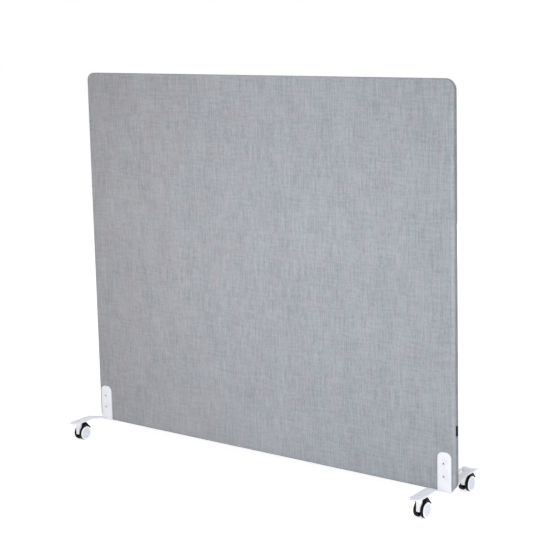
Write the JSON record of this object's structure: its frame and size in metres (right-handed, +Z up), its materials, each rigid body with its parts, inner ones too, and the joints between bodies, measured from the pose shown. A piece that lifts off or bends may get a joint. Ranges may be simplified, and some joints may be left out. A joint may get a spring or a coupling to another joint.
{
  "type": "rolling partition screen",
  "caption": "Free-standing upholstered panel on bent sheet-steel feet with swivelling, braked twin-wheel castors.",
  "frame": {"origin": "on the floor, under the middle of the whole object's box", "axes": "+Z up, +X along the panel to its right end seen from the front, -Y out of the front face"},
  "size_m": [1.6598, 0.378, 1.426],
  "materials": {
    "cover_fabric": "blue-grey melange woven cloth",
    "wadding": "white polyester wadding",
    "core_board": "honeycomb filling board",
    "timber": "planed softwood",
    "tag_ribbon": "black woven ribbon, blank",
    "insert_brass": "turned brass",
    "powder_coat": "white fine-texture powder coat",
    "screw_coat": "white enamelled screw heads",
    "plated_steel": "zinc-plated steel",
    "white_nylon": "white moulded nylon",
    "black_plastic": "black moulded nylon, fine grain",
    "wheel_nylon": "black moulded nylon wheel, dulled on its tread",
    "grey_disc": "pale blue-grey moulded disc"
  },
  "bodies": {
    "screen": {"front_cover": "cover_fabric", "rear_cover": "cover_fabric", "front_wadding": "wadding", "rear_wadding": "wadding", "core_board": "core_board", "left_stile": "timber", "right_stile": "timber", "top_rail": "timber", "bottom_rail": "timber", "frame_dowels": "timber", "side_tag": "tag_ribbon", "threaded_inserts": "insert_brass", "foot_left": "powder_coat", "foot_right": "powder_coat", "foot_screws": "screw_coat", "stem_screws": "screw_coat", "pintle_front_left": "plated_steel", "pintle_rear_left": "plated_steel", "pintle_front_right": "plated_steel", "pintle_rear_right": "plated_steel"},
    "swivel_front_left": {"housing_front_left": "white_nylon", "axle_front_left": "plated_steel"},
    "brake_front_left": {"brake_lever_front_left": "black_plastic"},
    "left_roller_front_left": {"left_wheel_front_left": "wheel_nylon", "left_face_front_left": "white_nylon", "left_cap_front_left": "grey_disc"},
    "right_roller_front_left": {"right_wheel_front_left": "wheel_nylon", "right_face_front_left": "white_nylon", "right_cap_front_left": "grey_disc"},
    "swivel_rear_left": {"housing_rear_left": "white_nylon", "axle_rear_left": "plated_steel"},
    "brake_rear_left": {"brake_lever_rear_left": "black_plastic"},
    "left_roller_rear_left": {"left_wheel_rear_left": "wheel_nylon", "left_face_rear_left": "white_nylon", "left_cap_rear_left": "grey_disc"},
    "right_roller_rear_left": {"right_wheel_rear_left": "wheel_nylon", "right_face_rear_left": "white_nylon", "right_cap_rear_left": "grey_disc"},
    "swivel_front_right": {"housing_front_right": "white_nylon", "axle_front_right": "plated_steel"},
    "brake_front_right": {"brake_lever_front_right": "black_plastic"},
    "left_roller_front_right": {"left_wheel_front_right": "wheel_nylon", "left_face_front_right": "white_nylon", "left_cap_front_right": "grey_disc"},
    "right_roller_front_right": {"right_wheel_front_right": "wheel_nylon", "right_face_front_right": "white_nylon", "right_cap_front_right": "grey_disc"},
    "swivel_rear_right": {"housing_rear_right": "white_nylon", "axle_rear_right": "plated_steel"},
    "brake_rear_right": {"brake_lever_rear_right": "black_plastic"},
    "left_roller_rear_right": {"left_wheel_rear_right": "wheel_nylon", "left_face_rear_right": "white_nylon", "left_cap_rear_right": "grey_disc"},
    "right_roller_rear_right": {"right_wheel_rear_right": "wheel_nylon", "right_face_rear_right": "white_nylon", "right_cap_rear_right": "grey_disc"}
  },
  "joints": [
    {"name": "front_left_swivel", "type": "hinge", "parent": "screen", "child": "swivel_front_left", "pos_m": [-0.8089, -0.152, 0.072], "axis": [0, 0, 1], "continuous": true},
    {"name": "front_left_brake", "type": "hinge", "parent": "swivel_front_left", "child": "brake_front_left", "pos_m": [-0.8089, -0.132, 0.0595], "axis": [-1, 0, 0], "range_deg": [0, 4.5]},
    {"name": "front_left_left_spin", "type": "hinge", "parent": "swivel_front_left", "child": "left_roller_front_left", "pos_m": [-0.8089, -0.134, 0.0265], "axis": [1, 0, 0], "continuous": true},
    {"name": "front_left_right_spin", "type": "hinge", "parent": "swivel_front_left", "child": "right_roller_front_left", "pos_m": [-0.8089, -0.134, 0.0265], "axis": [1, 0, 0], "continuous": true},
    {"name": "rear_left_swivel", "type": "hinge", "parent": "screen", "child": "swivel_rear_left", "pos_m": [-0.6859, 0.144, 0.072], "axis": [0, 0, 1], "continuous": true},
    {"name": "rear_left_brake", "type": "hinge", "parent": "swivel_rear_left", "child": "brake_rear_left", "pos_m": [-0.6859, 0.164, 0.0595], "axis": [-1, 0, 0], "range_deg": [0, 4.5]},
    {"name": "rear_left_left_spin", "type": "hinge", "parent": "swivel_rear_left", "child": "left_roller_rear_left", "pos_m": [-0.6859, 0.162, 0.0265], "axis": [1, 0, 0], "continuous": true},
    {"name": "rear_left_right_spin", "type": "hinge", "parent": "swivel_rear_left", "child": "right_roller_rear_left", "pos_m": [-0.6859, 0.162, 0.0265], "axis": [1, 0, 0], "continuous": true},
    {"name": "front_right_swivel", "type": "hinge", "parent": "screen", "child": "swivel_front_right", "pos_m": [0.7441, -0.152, 0.072], "axis": [0, 0, 1], "continuous": true},
    {"name": "front_right_brake", "type": "hinge", "parent": "swivel_front_right", "child": "brake_front_right", "pos_m": [0.7441, -0.132, 0.0595], "axis": [-1, 0, 0], "range_deg": [0, 4.5]},
    {"name": "front_right_left_spin", "type": "hinge", "parent": "swivel_front_right", "child": "left_roller_front_right", "pos_m": [0.7441, -0.134, 0.0265], "axis": [1, 0, 0], "continuous": true},
    {"name": "front_right_right_spin", "type": "hinge", "parent": "swivel_front_right", "child": "right_roller_front_right", "pos_m": [0.7441, -0.134, 0.0265], "axis": [1, 0, 0], "continuous": true},
    {"name": "rear_right_swivel", "type": "hinge", "parent": "screen", "child": "swivel_rear_right", "pos_m": [0.7441, 0.144, 0.072], "axis": [0, 0, 1], "continuous": true},
    {"name": "rear_right_brake", "type": "hinge", "parent": "swivel_rear_right", "child": "brake_rear_right", "pos_m": [0.7441, 0.164, 0.0595], "axis": [-1, 0, 0], "range_deg": [0, 4.5]},
    {"name": "rear_right_left_spin", "type": "hinge", "parent": "swivel_rear_right", "child": "left_roller_rear_right", "pos_m": [0.7441, 0.162, 0.0265], "axis": [1, 0, 0], "continuous": true},
    {"name": "rear_right_right_spin", "type": "hinge", "parent": "swivel_rear_right", "child": "right_roller_rear_right", "pos_m": [0.7441, 0.162, 0.0265], "axis": [1, 0, 0], "continuous": true}
  ]
}
